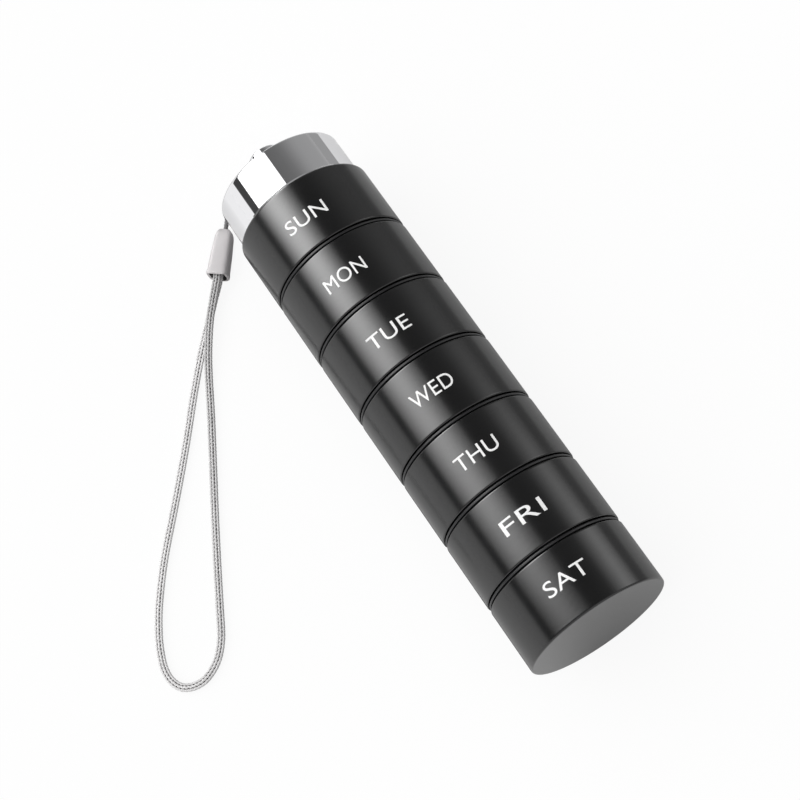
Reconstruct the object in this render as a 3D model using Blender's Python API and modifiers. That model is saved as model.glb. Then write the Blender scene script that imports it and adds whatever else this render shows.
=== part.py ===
"""Seven-day metal pill organizer with a screw cap and a wrist strap.

The tube lies on its side on z = 0, along world X: the cap is at -X and the closed base at +X.
Every turned piece is drawn upright on its own axis, with +Z towards the cap, and one empty lays
them all down. Sizes are in millimetres and become metres where a mesh is made.
"""

import math

import bmesh
import bpy
from mathutils import Matrix, Vector

MM = 0.001
MERGE = 0.00001  # metres, where the ends of a turned shape meet

DAYS = ("sun", "mon", "tue", "wed", "thu", "fri", "sat")

# Driving dimensions
BARREL_R = 15.0
PITCH = 15.17  # height of one compartment
BASE_SHORT = 0.55  # the last compartment is shorter by this
CAP_R = 14.0
CAP_H = 9.8
POST_R = 3.5
POST_H = 6.7
GAP = 0.3  # between pieces that touch on the real object
SIDES = 36  # of a sleeve and the cap
INNER_SIDES = 24  # of a cup, a seal and the small turned pieces

# Sleeve and cup, with heights below the top face of the compartment
SLEEVE_WALL = 0.8
SLEEVE_R = BARREL_R - SLEEVE_WALL  # inner radius
EDGE = 0.3  # rounding of a sleeve's ends
COLLAR_R = 14.8
COLLAR_H = 0.5
SKIRT_R = SLEEVE_R - GAP
SKIRT_END = PITCH - GAP
FLOOR_TOP = 8.6
FLOOR_T = 1.0
BASE_Z = -PITCH + BASE_SHORT  # the closed end of the last sleeve
BASE_T = 1.0
BASE_EDGE = 0.45
CAVITY_R = 11.1

# Neck, seal and thread, with heights above the joint between two compartments
NECK_R = 12.15
NECK_H = 5.0
SEAT_R = 11.9
SEAT_H = 1.3
SEAL_R = 12.6
SEAL_WIRE_R = 0.4
SEAL_SIDES = (20, 5)
SEAL_BORE_R = 13.3
SEAL_BORE_H = 1.6
THREAD_PITCH = 2.0
THREAD_DEPTH = 0.55
THREAD_CLEARANCE = 0.5
THREAD_LOW = 1.85
THREAD_HIGH = 4.35
GROOVE_LOW = 1.0
GROOVE_HIGH = THREAD_HIGH + GAP
THREAD_STEPS = 16  # in one turn
BORE_R = NECK_R + GAP

# Cap, post and screw, with heights above the top compartment's face
CEILING = 8.0
CAP_EDGE = 0.5
POST_BASE = CAP_H + GAP
POST_TOP = CAP_H + POST_H
CROSS_HOLE_Z = 13.9
CROSS_HOLE_R = 1.0
TAPPED_R = 1.5
TAPPED_TOP = 12.7
SCREW_R = 1.2
SCREW_TOP = TAPPED_TOP - GAP
HEAD_R = 2.6
HEAD_TOP = CEILING - GAP
HEAD_H = 1.5
SLOT = (0.8, 0.7)  # width and depth of the screw's slot

# Where the tube lies in the world
LENGTH = PITCH * len(DAYS) - BASE_SHORT + POST_TOP
TOP_FACE_X = POST_TOP - LENGTH / 2
AXIS_HEIGHT = BARREL_R * math.cos(math.pi / SIDES)

# Strap, in world axes
STRING_R = 0.4
TAPE_R = 0.7
STRING_STEP = 2.4
TAPE_STEP = 4.2
FERRULE_TOP = Vector((-58.56, -15.61, 2.03))
FERRULE_MOUTH = Vector((-50.5, -22.5, 2.35))
FERRULE_TOP_SIZE = (3.9, 3.6)  # width and thickness
FERRULE_MOUTH_SIZE = (4.6, 4.4)
FERRULE_SIDES = 16
FERRULE_ROUND = 0.8
TAPE_POCKET = (3.0, 3.7, 2.0)  # width, thickness and depth
STRING_POCKET = (2.2, 2.6, 1.2)

# From the ferrule through the post's cross hole, round under the post and back
STRING_ROUTE = (
    (-58.3, -15.83, 2.5),
    (-60.2, -14.1, 3.1),
    (-60.4, -12.8, 5.4),
    (-59.9, -10.0, 9.6),
    (-59.1, -6.9, 13.2),
    (-58.5, -3.9, 14.9),
    (-58.5, 0.0, 15.0),
    (-58.5, 3.5, 15.0),
    (-58.5, 5.0, 14.1),
    (-58.5, 4.8, 12.2),
    (-58.5, 3.2, 11.0),
    (-58.6, 0.6, 10.4),
    (-58.9, -3.2, 9.7),
    (-59.5, -7.6, 7.8),
    (-60.3, -11.6, 4.4),
    (-60.4, -13.6, 2.2),
    (-58.3, -15.83, 1.5),
)

# The upper leg leaves the ferrule, and the strap runs round its loop and returns underneath
TAPE_ROUTE = (
    (-51.6, -21.56, 3.2),
    (-49.6, -23.1, 3.2),
    (-46.9, -25.7, 2.8),
    (-43.1, -29.0, 2.6),
    (-38.4, -32.5, 2.0),
    (-33.8, -35.6, 1.0),
    (-25.6, -40.1, 0.8),
    (-16.0, -45.5, 0.8),
    (-7.5, -50.3, 0.8),
    (1.2, -55.1, 0.8),
    (9.9, -59.8, 0.8),
    (14.0, -62.0, 0.8),
    (16.4, -63.6, 0.8),
    (18.5, -65.6, 0.8),
    (19.9, -67.9, 0.8),
    (20.6, -70.4, 0.8),
    (20.2, -72.9, 0.8),
    (18.9, -74.8, 0.8),
    (16.6, -75.8, 0.8),
    (14.0, -75.8, 0.8),
    (11.2, -75.0, 0.8),
    (7.4, -73.3, 0.8),
    (2.0, -70.0, 0.8),
    (-5.6, -64.1, 0.8),
    (-14.2, -56.2, 0.8),
    (-23.0, -48.3, 0.8),
    (-32.6, -40.1, 0.8),
    (-39.4, -33.95, 0.8),
    (-43.6, -29.7, 0.8),
    (-47.4, -25.9, 0.85),
    (-49.7, -23.25, 1.3),
    (-51.6, -21.56, 1.5),
)


def finish(name, colour, roughness, metallic):
    """A Principled material of one colour."""
    material = bpy.data.materials.new(name)
    material.use_nodes = True
    shader = material.node_tree.nodes["Principled BSDF"]
    shader.inputs["Base Color"].default_value = (*colour, 1.0)
    shader.inputs["Roughness"].default_value = roughness
    shader.inputs["Metallic"].default_value = metallic
    return material


def put(name, data, collection, parent=None, height=0.0):
    """An object for a mesh or an empty, a height in millimetres up its parent's axis."""
    obj = bpy.data.objects.new(name, data)
    collection.objects.link(obj)
    obj.parent = parent
    obj.location.z = height * MM
    return obj


def evaluated(obj, weld):
    """The mesh of an object with its modifiers, in its own axes, and the object removed."""
    graph = bpy.context.evaluated_depsgraph_get()
    mesh = bpy.data.meshes.new_from_object(obj.evaluated_get(graph))
    if weld:
        shape = bmesh.new()
        shape.from_mesh(mesh)
        bmesh.ops.remove_doubles(shape, verts=shape.verts, dist=1e-7)
        bmesh.ops.recalc_face_normals(shape, faces=shape.faces)
        shape.to_mesh(mesh)
        shape.free()
    mesh.name = obj.name
    bpy.data.objects.remove(obj, do_unlink=True)
    return mesh


def turned(name, profile, sides, on_axis=False):
    """A lathe mesh from a profile of (radius, height) that runs down its outer side.

    The section of a ring is a closed profile, and a solid one starts and ends on the axis.
    The profile stands half a step round, which puts a flat side towards the table.
    """
    half_step = math.pi / sides
    points = [
        (r * MM * math.cos(half_step), r * MM * math.sin(half_step), z * MM)
        for r, z in profile
    ]
    edges = [(i, i + 1) for i in range(len(points) - 1)]
    if not on_axis:
        edges.append((len(points) - 1, 0))
    mesh = bpy.data.meshes.new(name)
    mesh.from_pydata(points, edges, [])
    obj = put(name, mesh, bpy.context.scene.collection)
    screw = obj.modifiers.new("turn", "SCREW")
    screw.steps = sides
    screw.render_steps = sides
    screw.use_merge_vertices = True
    screw.merge_threshold = MERGE
    return evaluated(obj, weld=False)


def cylinder(name, radius, low, high, sides=20, turn=None):
    """A plain cylinder from one height to another, for a cut, turned about the origin."""
    shape = bmesh.new()
    bmesh.ops.create_cone(
        shape,
        cap_ends=True,
        segments=sides,
        radius1=radius * MM,
        radius2=radius * MM,
        depth=(high - low) * MM,
        matrix=Matrix.Translation((0, 0, (low + high) / 2 * MM)),
    )
    if turn:
        bmesh.ops.transform(shape, matrix=turn, verts=shape.verts)
    mesh = bpy.data.meshes.new(name)
    shape.to_mesh(mesh)
    shape.free()
    return mesh


def combined(mesh, others, operation):
    """A mesh after Boolean modifiers with other meshes in the same axes."""
    scene = bpy.context.scene.collection
    obj = put(mesh.name, mesh, scene)
    cutters = [put(other.name, other, scene) for other in others]
    for cutter in cutters:
        cutter.hide_render = True
        cutter.display_type = "WIRE"
        boolean = obj.modifiers.new(cutter.name, "BOOLEAN")
        boolean.object = cutter
        boolean.operation = operation
        boolean.solver = "EXACT"
    result = evaluated(obj, weld=False)
    for cutter in cutters:
        bpy.data.objects.remove(cutter, do_unlink=True)
    return result


def smooth(mesh):
    """Smooth shading on round faces, with the true edges kept sharp."""
    mesh.shade_smooth()
    mesh.set_sharp_from_angle(angle=math.radians(35))
    return mesh


def tube(name, points, radius, collection, resolution):
    """A round tube along points, as a curve object with filled caps."""
    curve = bpy.data.curves.new(name, "CURVE")
    curve.dimensions = "3D"
    curve.twist_mode = "Z_UP"
    curve.bevel_depth = radius * MM
    curve.bevel_resolution = resolution
    curve.render_resolution_u = 0
    curve.use_fill_caps = True
    spline = curve.splines.new("POLY")
    spline.points.add(len(points) - 1)
    for target, point in zip(spline.points, points):
        target.co = (*(c * MM for c in point), 1.0)
    return put(name, curve, collection)


def smooth_route(route, step):
    """Points about a step apart on the Catmull-Rom curve through a route."""
    points = [Vector(p) for p in route]
    points = [2 * points[0] - points[1], *points, 2 * points[-1] - points[-2]]
    fine = []
    for a, b, c, d in zip(points, points[1:], points[2:], points[3:]):
        count = max(1, round((c - b).length / step))
        for i in range(count):
            t = i / count
            line = 2 * b + (c - a) * t
            bend = (2 * a - 5 * b + 4 * c - d) * t**2
            twist = (3 * b - a - 3 * c + d) * t**3
            fine.append((line + bend + twist) / 2)
    return [*fine, points[-2]]


def thread(name, low, high, depth):
    """A right-hand V thread round the neck, from one height above the joint to another."""
    steps = round((high - low) / THREAD_PITCH * THREAD_STEPS)
    points = []
    for i in range(steps + 1):
        z = low + (high - low) * i / steps
        angle = 2.0 * math.pi * z / THREAD_PITCH
        points.append((NECK_R * math.cos(angle), NECK_R * math.sin(angle), z))
    return evaluated(tube(name, points, depth, bpy.context.scene.collection, 0), weld=True)


def groove(joint_height):
    """The cutter of the inner thread, for a joint at a height in the piece's own axes."""
    mesh = thread("groove", GROOVE_LOW, GROOVE_HIGH, THREAD_DEPTH + THREAD_CLEARANCE)
    mesh.transform(Matrix.Translation((0, 0, joint_height * MM)))
    return mesh


def sleeve_mesh(top, rounding):
    """A sleeve that is open at both ends."""
    profile = [
        (BARREL_R - rounding, top),
        (BARREL_R, top - rounding),
        (BARREL_R, -SKIRT_END + EDGE),
        (BARREL_R - EDGE, -SKIRT_END),
        (SLEEVE_R, -SKIRT_END),
        (SLEEVE_R, top),
    ]
    return smooth(turned("sleeve", profile, SIDES))


def base_sleeve_mesh():
    """The last sleeve, whose lower end is closed by a flat base."""
    profile = [
        (0, BASE_Z + BASE_T),
        (SLEEVE_R, BASE_Z + BASE_T),
        (SLEEVE_R, -COLLAR_H - GAP),
        (BARREL_R - EDGE, -COLLAR_H - GAP),
        (BARREL_R, -COLLAR_H - GAP - EDGE),
        (BARREL_R, BASE_Z + BASE_EDGE),
        (BARREL_R - BASE_EDGE, BASE_Z),
        (0, BASE_Z),
    ]
    return smooth(turned("base_sleeve", profile, SIDES, on_axis=True))


def neck_profile():
    """The inside and outside of a cup down to the foot of its neck."""
    return [
        (0, -FLOOR_TOP),
        (CAVITY_R, -FLOOR_TOP),
        (CAVITY_R, NECK_H),
        (NECK_R, NECK_H),
        (NECK_R, SEAT_H),
        (SEAT_R, SEAT_H),
        (SEAT_R, 0),
    ]


def collar_profile():
    """The ring that shows between two sleeves."""
    return [(COLLAR_R, 0), (COLLAR_R, -COLLAR_H), (SKIRT_R, -COLLAR_H)]


def socket_profile(joint_height, ceiling):
    """The mouth and bore that take the neck of the next compartment, from outside to inside."""
    return [
        (SEAL_BORE_R, joint_height + GAP),
        (SEAL_BORE_R, joint_height + SEAL_BORE_H),
        (BORE_R, joint_height + SEAL_BORE_H),
        (BORE_R, ceiling),
    ]


def cup_mesh(collar):
    """A threaded cup with a neck above and a socket below."""
    ceiling = -FLOOR_TOP - FLOOR_T
    profile = [
        *neck_profile(),
        *(collar_profile() if collar else [(SKIRT_R, 0)]),
        (SKIRT_R, -SKIRT_END),
        *socket_profile(-PITCH, ceiling),
        (0, ceiling),
    ]
    mesh = turned("cup", profile, INNER_SIDES, on_axis=True)
    ridge = thread("ridge", THREAD_LOW, THREAD_HIGH, THREAD_DEPTH)
    mesh = combined(mesh, [ridge], "UNION")
    return smooth(combined(mesh, [groove(-PITCH)], "DIFFERENCE"))


def base_cup_mesh():
    """The cup of the last compartment, with a plain skirt that stands on the base."""
    foot = BASE_Z + BASE_T + GAP
    ceiling = -FLOOR_TOP - FLOOR_T
    profile = [
        *neck_profile(),
        *collar_profile(),
        (SKIRT_R, foot),
        (BORE_R, foot),
        (BORE_R, ceiling),
        (0, ceiling),
    ]
    mesh = turned("base_cup", profile, INNER_SIDES, on_axis=True)
    ridge = thread("ridge", THREAD_LOW, THREAD_HIGH, THREAD_DEPTH)
    return smooth(combined(mesh, [ridge], "UNION"))


def seal_mesh():
    """A sealing ring that lies on the foot of the neck."""
    bpy.ops.mesh.primitive_torus_add(
        major_radius=SEAL_R * MM,
        minor_radius=SEAL_WIRE_R * MM,
        major_segments=SEAL_SIDES[0],
        minor_segments=SEAL_SIDES[1],
        location=(0, 0, (GAP + SEAL_WIRE_R) * MM),
    )
    ring = bpy.context.object
    mesh = ring.data
    mesh.transform(ring.matrix_world)
    bpy.data.objects.remove(ring, do_unlink=True)
    return smooth(mesh)


def cap_mesh():
    """The screw cap, with its inner thread and the hole for the post's screw."""
    profile = [
        (CAP_R - CAP_EDGE, CAP_H),
        (CAP_R, CAP_H - CAP_EDGE),
        (CAP_R, GAP),
        *socket_profile(0, CEILING),
        (TAPPED_R, CEILING),
        (TAPPED_R, CAP_H),
    ]
    mesh = turned("cap", profile, SIDES)
    return smooth(combined(mesh, [groove(0)], "DIFFERENCE"))


def post_mesh():
    """The knob on the cap, tapped from below and cross-drilled for the string."""
    profile = [
        (0, POST_TOP),
        (POST_R - EDGE, POST_TOP),
        (POST_R, POST_TOP - EDGE),
        (POST_R, POST_BASE),
        (TAPPED_R, POST_BASE),
        (TAPPED_R, TAPPED_TOP),
        (0, TAPPED_TOP),
    ]
    mesh = turned("post", profile, INNER_SIDES, on_axis=True)
    across = Matrix.Translation((0, 0, CROSS_HOLE_Z * MM)) @ Matrix.Rotation(math.pi / 2, 4, "X")
    hole = cylinder("cross_hole", CROSS_HOLE_R, -2 * POST_R, 2 * POST_R, 12, across)
    return smooth(combined(mesh, [hole], "DIFFERENCE"))


def screw_mesh():
    """The slotted screw that holds the post from inside the cap."""
    profile = [
        (0, SCREW_TOP),
        (SCREW_R, SCREW_TOP),
        (SCREW_R, HEAD_TOP),
        (HEAD_R, HEAD_TOP),
        (HEAD_R, HEAD_TOP - HEAD_H + EDGE),
        (HEAD_R - EDGE, HEAD_TOP - HEAD_H),
        (0, HEAD_TOP - HEAD_H),
    ]
    mesh = turned("screw", profile, INNER_SIDES, on_axis=True)
    width, depth = SLOT
    size = Matrix.Diagonal((3 * HEAD_R * MM, width * MM, 2 * depth * MM, 1))
    shape = bmesh.new()
    bmesh.ops.create_cube(
        shape,
        size=1.0,
        matrix=Matrix.Translation((0, 0, (HEAD_TOP - HEAD_H) * MM)) @ size,
    )
    slot = bpy.data.meshes.new("slot")
    shape.to_mesh(slot)
    shape.free()
    return smooth(combined(mesh, [slot], "DIFFERENCE"))


def oval(name, sizes, length, centre):
    """A drafted oval plug: (width, thickness) at its lower and upper end, in millimetres."""
    (low_width, low_thick), (high_width, high_thick) = sizes
    shape = bmesh.new()
    bmesh.ops.create_cone(
        shape,
        cap_ends=True,
        segments=FERRULE_SIDES,
        radius1=low_width / 2 * MM,
        radius2=high_width / 2 * MM,
        depth=length * MM,
        matrix=Matrix.Translation((0, 0, centre * MM)),
    )
    for vertex in shape.verts:
        upper = vertex.co.z > centre * MM
        vertex.co.y *= high_thick / high_width if upper else low_thick / low_width
    mesh = bpy.data.meshes.new(name)
    shape.to_mesh(mesh)
    shape.free()
    return mesh


def ferrule_mesh():
    """The ferrule upright on the middle of its mouth, with a pocket at each end."""
    length = (FERRULE_TOP - FERRULE_MOUTH).length
    body = oval("ferrule", (FERRULE_MOUTH_SIZE, FERRULE_TOP_SIZE), length, length / 2)
    shape = bmesh.new()
    shape.from_mesh(body)
    rim = [e for e in shape.edges if all(v.co.z > length / 2 * MM for v in e.verts)]
    bmesh.ops.bevel(
        shape, geom=rim, offset=FERRULE_ROUND * MM, segments=3, profile=0.5, affect="EDGES"
    )
    shape.to_mesh(body)
    shape.free()
    pockets = []
    for name, (width, thick, depth), end in (
        ("tape_pocket", TAPE_POCKET, 0.0),
        ("string_pocket", STRING_POCKET, length),
    ):
        pockets.append(oval(name, ((width, thick), (width, thick)), 2 * depth, end))
    return smooth(combined(body, pockets, "DIFFERENCE"))


def ferrule_place():
    """The ferrule's axes in the world: +Z runs along it to the string's end."""
    along = (FERRULE_TOP - FERRULE_MOUTH).normalized()
    across = Vector((0, 0, 1)).cross(along).normalized()
    up = along.cross(across)
    turn = Matrix((across, up, along)).transposed().to_4x4()
    return Matrix.Translation(FERRULE_MOUTH * MM) @ turn


def build():
    """Lay the tube down, stack its compartments and add the cap and the strap."""
    for obj in list(bpy.data.objects):
        bpy.data.objects.remove(obj, do_unlink=True)
    parts = bpy.data.collections.new("pill_organizer")
    bpy.context.scene.collection.children.link(parts)

    anodised = finish("anodised_black", (0.03, 0.03, 0.032), 0.4, 0.8)
    plastic = finish("cup_black", (0.04, 0.04, 0.042), 0.5, 0.0)
    rubber = finish("seal_rubber", (0.1, 0.1, 0.1), 0.7, 0.0)
    chrome = finish("chrome_plate", (0.85, 0.85, 0.87), 0.06, 1.0)
    steel = finish("screw_steel", (0.55, 0.55, 0.56), 0.3, 1.0)
    woven = finish("strap_cloth", (0.75, 0.75, 0.76), 0.8, 0.0)
    grey = finish("ferrule_grey", (0.6, 0.59, 0.6), 0.45, 0.0)

    axis = put("tube_axis", None, parts)
    axis.location = (TOP_FACE_X * MM, 0, AXIS_HEIGHT * MM)
    axis.rotation_euler.y = -math.pi / 2

    def add(name, mesh, material, parent=axis):
        if not mesh.materials:
            mesh.materials.append(material)
        return put(name, mesh, parts, parent)

    open_sleeve = sleeve_mesh(-COLLAR_H - GAP, EDGE)
    sleeves = {
        "sun": sleeve_mesh(0.0, CAP_EDGE),
        "sat": base_sleeve_mesh(),
    }
    collar_cup = cup_mesh(collar=True)
    cups = {"sun": cup_mesh(collar=False), "sat": base_cup_mesh()}
    seal = seal_mesh()
    for index, day in enumerate(DAYS):
        joint = put(f"{day}_joint", None, parts, axis, -index * PITCH)
        add(f"{day}_sleeve", sleeves.get(day, open_sleeve), anodised, joint)
        add(f"{day}_cup", cups.get(day, collar_cup), plastic, joint)
        add(f"{day}_seal", seal, rubber, joint)

    add("cap", cap_mesh(), chrome)
    add("strap_post", post_mesh(), chrome)
    add("post_screw", screw_mesh(), steel)

    ferrule = add("strap_ferrule", ferrule_mesh(), grey, None)
    ferrule.matrix_world = ferrule_place()
    string = tube("strap_string", smooth_route(STRING_ROUTE, STRING_STEP), STRING_R, parts, 2)
    tape = tube("strap_tape", smooth_route(TAPE_ROUTE, TAPE_STEP), TAPE_R, parts, 2)
    for cord in (string, tape):
        cord.data.materials.append(woven)


build()
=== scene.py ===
"""Looks of a seven-day metal pill organizer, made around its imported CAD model.

The tube lies along world X with its screw cap at -X. Turned pieces are drawn upright, with +Z
towards the cap, and laid down onto the tube's axis before they are finished. Sizes are in
millimetres and become metres where a mesh is made.
"""

import logging
import math
from dataclasses import dataclass, field
from enum import Enum
from typing import Any, Sequence

import bmesh
import bpy
from mathutils import Matrix, Vector


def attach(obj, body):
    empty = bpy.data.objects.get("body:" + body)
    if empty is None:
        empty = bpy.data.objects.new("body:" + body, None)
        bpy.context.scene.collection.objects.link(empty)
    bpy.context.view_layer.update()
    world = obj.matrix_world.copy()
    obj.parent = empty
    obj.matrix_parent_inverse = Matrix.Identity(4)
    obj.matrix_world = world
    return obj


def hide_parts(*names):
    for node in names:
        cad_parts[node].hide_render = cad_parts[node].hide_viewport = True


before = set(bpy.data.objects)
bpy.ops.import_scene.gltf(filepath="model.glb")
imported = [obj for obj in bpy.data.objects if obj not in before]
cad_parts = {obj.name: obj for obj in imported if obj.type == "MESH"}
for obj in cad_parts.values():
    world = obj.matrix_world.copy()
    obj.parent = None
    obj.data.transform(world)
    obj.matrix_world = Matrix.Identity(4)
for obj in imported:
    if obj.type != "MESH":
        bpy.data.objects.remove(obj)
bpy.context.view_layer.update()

MM = 0.001
MERGE = 1e-6  # metres, where the ends of a turned shape meet
NOISE_LOW, NOISE_HIGH = 0.3, 0.7  # nearly all of a noise texture lies between them

# The tube's own measures, as in the part's source
BARREL_R = 15.0
PITCH = 15.17
BASE_SHORT = 0.55
TOP_X = -44.57
AXIS_Z = 14.9429
GAP = 0.3
SLEEVE_R = 14.2
COLLAR_R = 14.8
COLLAR_H = 0.5
SKIRT_R = 13.9
SKIRT_END = PITCH - GAP
NECK_R = 12.15
BORE_R = 12.45
MOUTH_R = 13.3
MOUTH_H = 1.6
THREAD_PITCH = 2.0

LAID = Matrix.Translation((TOP_X * MM, 0, AXIS_Z * MM)) @ Matrix.Rotation(-math.pi / 2, 4, "Y")

log = logging.getLogger("pill_organizer")


class Day(Enum):
    """A compartment of the tube, with its place counted from the cap."""

    SUN = 0
    MON = 1
    TUE = 2
    WED = 3
    THU = 4
    FRI = 5
    SAT = 6

    @property
    def key(self) -> str:
        """The day's name as the CAD nodes have it."""
        return self.name.lower()

    @property
    def body(self) -> str:
        """The moving body of this compartment."""
        return f"{self.key}_section"

    @property
    def height(self) -> float:
        """Height of the compartment's top face on the tube's axis."""
        return -self.value * PITCH


class Sketch:
    """Short calls that add and link the nodes of one tree."""

    def __init__(self, tree: bpy.types.NodeTree) -> None:
        """Take an existing tree.

        Args:
            tree: the node tree to draw in.
        """
        self.tree = tree

    def add(self, kind: str, inputs: dict[Any, Any] | None = None, **settings: Any) -> Any:
        """Add one node.

        Args:
            kind: the node's type.
            inputs: a value or an output socket for each named or numbered input.
            settings: properties of the node.

        Returns:
            The new node.
        """
        node = self.tree.nodes.new(kind)
        for key, value in settings.items():
            setattr(node, key, value)
        for key, value in (inputs or {}).items():
            socket = self.socket(node.inputs, key)
            if isinstance(value, bpy.types.NodeSocket):
                self.tree.links.new(value, socket)
            else:
                socket.default_value = value
        return node

    @staticmethod
    def socket(sockets: Any, key: Any) -> Any:
        """Find a socket that is in use.

        Args:
            sockets: a node's inputs or outputs.
            key: its number or its name.

        Returns:
            The socket.
        """
        if isinstance(key, int):
            return sockets[key]
        return next(s for s in sockets if s.name == key and s.enabled)

    def out(self, kind: str, output: Any = 0, inputs: dict[Any, Any] | None = None, **settings: Any) -> Any:
        """Add one node and return one of its outputs.

        Args:
            kind: the node's type.
            output: the wanted output's number or name.
            inputs: as in add.
            settings: properties of the node.

        Returns:
            The output socket.
        """
        return self.socket(self.add(kind, inputs, **settings).outputs, output)

    def math(self, operation: str, *values: Any) -> Any:
        """Add a Math node.

        Args:
            operation: its operation.
            values: numbers or sockets, in order.

        Returns:
            Its output socket.
        """
        return self.out("ShaderNodeMath", inputs=dict(enumerate(values)), operation=operation)

    def vector(self, operation: str, *values: Any) -> Any:
        """Add a Vector Math node.

        Args:
            operation: its operation.
            values: vectors or sockets, in order.

        Returns:
            Its first output socket.
        """
        return self.out("ShaderNodeVectorMath", inputs=dict(enumerate(values)), operation=operation)

    def ease(
        self, value: Any, start: float, end: Any, low: Any = 0.0, high: Any = 1.0, smooth: bool = True
    ) -> Any:
        """Map one range onto another.

        Args:
            value: the socket to map.
            start: where its range starts.
            end: where its range ends.
            low: the result at the start.
            high: the result at the end.
            smooth: whether the result eases in and out.

        Returns:
            The result's socket.
        """
        return self.out(
            "ShaderNodeMapRange",
            "Result",
            {"Value": value, "From Min": start, "From Max": end, "To Min": low, "To Max": high},
            interpolation_type="SMOOTHSTEP" if smooth else "LINEAR",
        )

    def ramp(self, value: Any, stops: Sequence[tuple[float, float]], smooth: bool = False) -> Any:
        """Add a Color Ramp in grey.

        Args:
            value: the socket to look up.
            stops: pairs of place and grey.
            smooth: whether the greys ease into each other.

        Returns:
            The ramp's colour.
        """
        node = self.add("ShaderNodeValToRGB", {0: value})
        node.color_ramp.interpolation = "EASE" if smooth else "LINEAR"
        points = node.color_ramp.elements
        while len(points) < len(stops):
            points.new(0.5)
        for point, (place, grey) in zip(points, stops):
            point.position = place
            point.color = (grey, grey, grey, 1.0)
        return node.outputs[0]


@dataclass(frozen=True)
class Finish:
    """A surface finish: its colour, its gloss and the grain that its noise gives it."""

    name: str
    slot: str
    colour: tuple[float, float, float]
    roughness: float
    metallic: float = 0.0
    ior: float = 1.5
    grain: float = 900.0
    grain_height: float = 0.0
    roughness_change: float = 0.05
    colour_change: float = 0.1
    blotch: float = 12.0  # grains across one broad blotch

    def material(self) -> bpy.types.Material:
        """Build the finish once.

        Returns:
            The material.
        """
        known = bpy.data.materials.get(self.name)
        if known:
            return known
        material = bpy.data.materials.new(self.name)
        material.use_nodes = True
        sketch = Sketch(material.node_tree)
        self.dress(sketch, material.node_tree.nodes["Principled BSDF"])
        return material

    def dress(self, sketch: Sketch, shader: Any) -> None:
        """Set the shader and add the grain.

        Args:
            sketch: the material's tree.
            shader: its Principled shader.
        """
        shader.inputs["Metallic"].default_value = self.metallic
        shader.inputs["IOR"].default_value = self.ior
        place = self.place(sketch)
        broad = sketch.out(
            "ShaderNodeTexNoise",
            "Fac",
            {"Vector": place, "Scale": self.grain / self.blotch, "Detail": 4.0},
        )
        low, high = 1.0 - self.colour_change, 1.0 + self.colour_change
        shade = sketch.ramp(broad, ((NOISE_LOW, low / high), (NOISE_HIGH, 1.0)), smooth=True)
        colour = sketch.vector("MULTIPLY", shade, tuple(c * high for c in self.colour))
        sketch.tree.links.new(self.tone(sketch, colour), shader.inputs["Base Color"])
        swing = sketch.math("MULTIPLY", sketch.math("SUBTRACT", broad, 0.5), 4 * self.roughness_change)
        rough = sketch.math("ADD", swing, self.roughness)
        sketch.tree.links.new(rough, shader.inputs["Roughness"])
        if self.grain_height:
            fine = sketch.out(
                "ShaderNodeTexNoise", "Fac", {"Vector": place, "Scale": self.grain, "Detail": 3.0}
            )
            bump = sketch.out(
                "ShaderNodeBump",
                inputs={"Height": fine, "Strength": 1.0, "Distance": self.grain_height * MM},
            )
            sketch.tree.links.new(bump, shader.inputs["Normal"])

    def tone(self, sketch: Sketch, colour: Any) -> Any:
        """Leave the colour as it is.

        Args:
            sketch: the material's tree, not used here.
            colour: the colour so far.

        Returns:
            The same colour.
        """
        return colour

    def place(self, sketch: Sketch) -> Any:
        """Where the grain is read.

        Args:
            sketch: the material's tree.

        Returns:
            The object's own coordinates.
        """
        return sketch.out("ShaderNodeTexCoord", "Object")


@dataclass(frozen=True)
class TurnedFinish(Finish):
    """A finish with the fine rings that a lathe leaves round the tube's axis."""

    ring: float = 30.0

    def place(self, sketch: Sketch) -> Any:
        """Coordinates that are drawn out round the axis, so that the grain runs in rings.

        Args:
            sketch: the material's tree.

        Returns:
            The stretched coordinates.
        """
        own = sketch.out("ShaderNodeTexCoord", "Object")
        return sketch.vector("MULTIPLY", own, (self.ring, 1.0, 1.0))


@dataclass(frozen=True)
class YarnFinish(Finish):
    """Spun yarn: fibres that follow each strand, and painted shade that darkens the cord towards the clasp.

    The tones are painted shade: pairs of a place along the cord, as a share of its length, and a share of
    the colour.
    """

    tones: tuple[tuple[float, float], ...] = (
        (0.0, 0.62), (0.1, 0.72), (0.3, 0.85), (0.5, 0.88), (0.62, 1.0), (0.92, 1.0), (1.0, 0.85),
    )

    def tone(self, sketch: Sketch, colour: Any) -> Any:
        """Darken the colour towards the clasp, as painted shade.

        Args:
            sketch: the material's tree.
            colour: the colour before it.

        Returns:
            The toned colour.
        """
        share = sketch.out("ShaderNodeAttribute", "Fac", attribute_name="share")
        return sketch.vector("MULTIPLY", colour, sketch.ramp(share, self.tones))

    def place(self, sketch: Sketch) -> Any:
        """Coordinates along and across a strand.

        Args:
            sketch: the material's tree.

        Returns:
            The strand's own coordinates.
        """
        along = sketch.out("ShaderNodeAttribute", "Fac", attribute_name="along")
        strand = sketch.out("ShaderNodeAttribute", "Fac", attribute_name="strand")
        own = sketch.out("ShaderNodeTexCoord", "Object")
        moved = sketch.out("ShaderNodeCombineXYZ", inputs={0: along, 1: strand, 2: 0.0})
        return sketch.vector("ADD", own, moved)


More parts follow.
